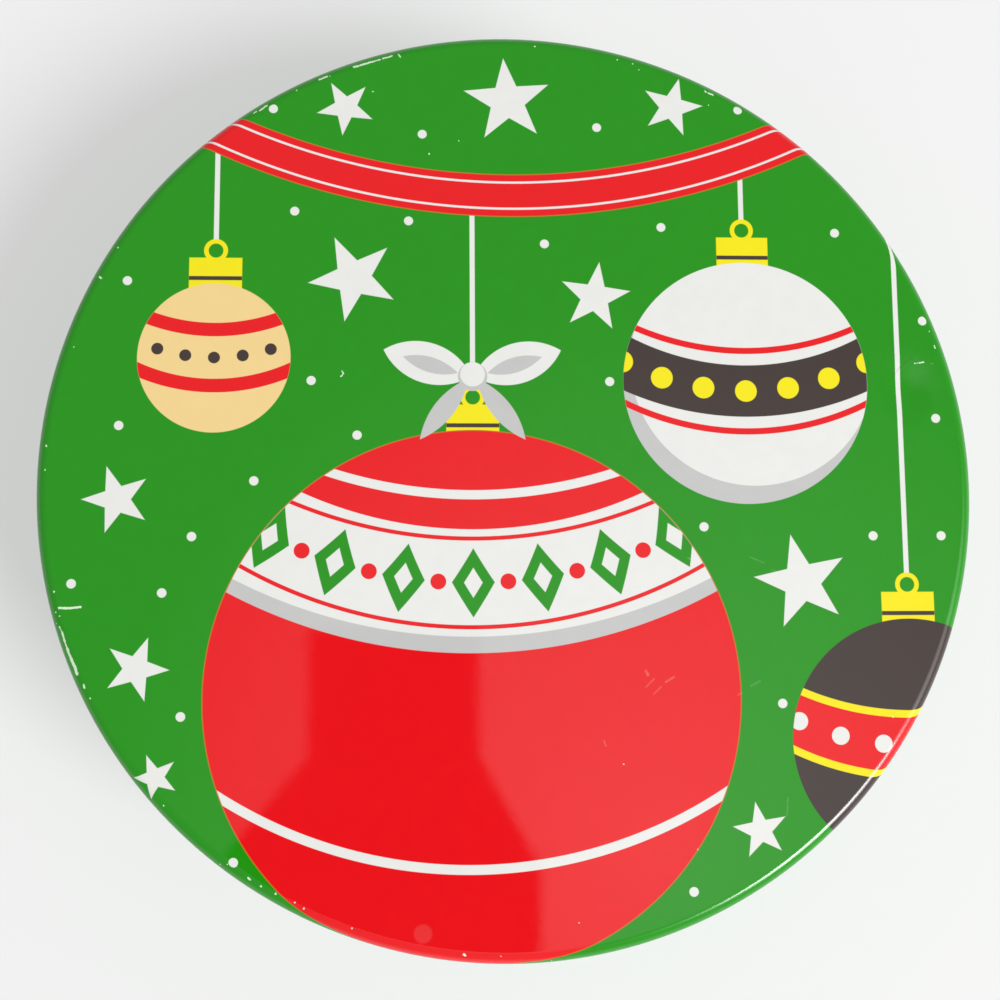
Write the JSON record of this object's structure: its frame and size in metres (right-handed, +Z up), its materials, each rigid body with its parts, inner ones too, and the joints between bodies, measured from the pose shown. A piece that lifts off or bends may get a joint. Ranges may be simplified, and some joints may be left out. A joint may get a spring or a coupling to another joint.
{
  "type": "christmas tin",
  "caption": "Round shallow slip-lid tin of thin tinplate with a printed drawn lid, a rolled wall with a locked side seam, and a recessed base double-seamed round its foot.",
  "frame": {"origin": "middle of the base ring, on the surface that the tin stands on", "axes": "+Z up along the tin's axis; the side seam is behind, towards +Y"},
  "size_m": [0.203, 0.203, 0.07],
  "materials": {
    "lid_enamel": "printed tinplate under a clear high-gloss lacquer",
    "wall_enamel": "plain green printed tinplate under a clear gloss lacquer",
    "bare_tinplate": "bare tinplate, softly shining, with fine rolling marks"
  },
  "bodies": {
    "tin": {"body_wall": "wall_enamel", "base_disc": "bare_tinplate"},
    "lid": {"lid": "lid_enamel"}
  },
  "joints": [
    {"name": "lid_lift", "type": "slide", "parent": "tin", "child": "lid", "axis": [0, 0, 1], "range_m": [0, 0.12]}
  ]
}
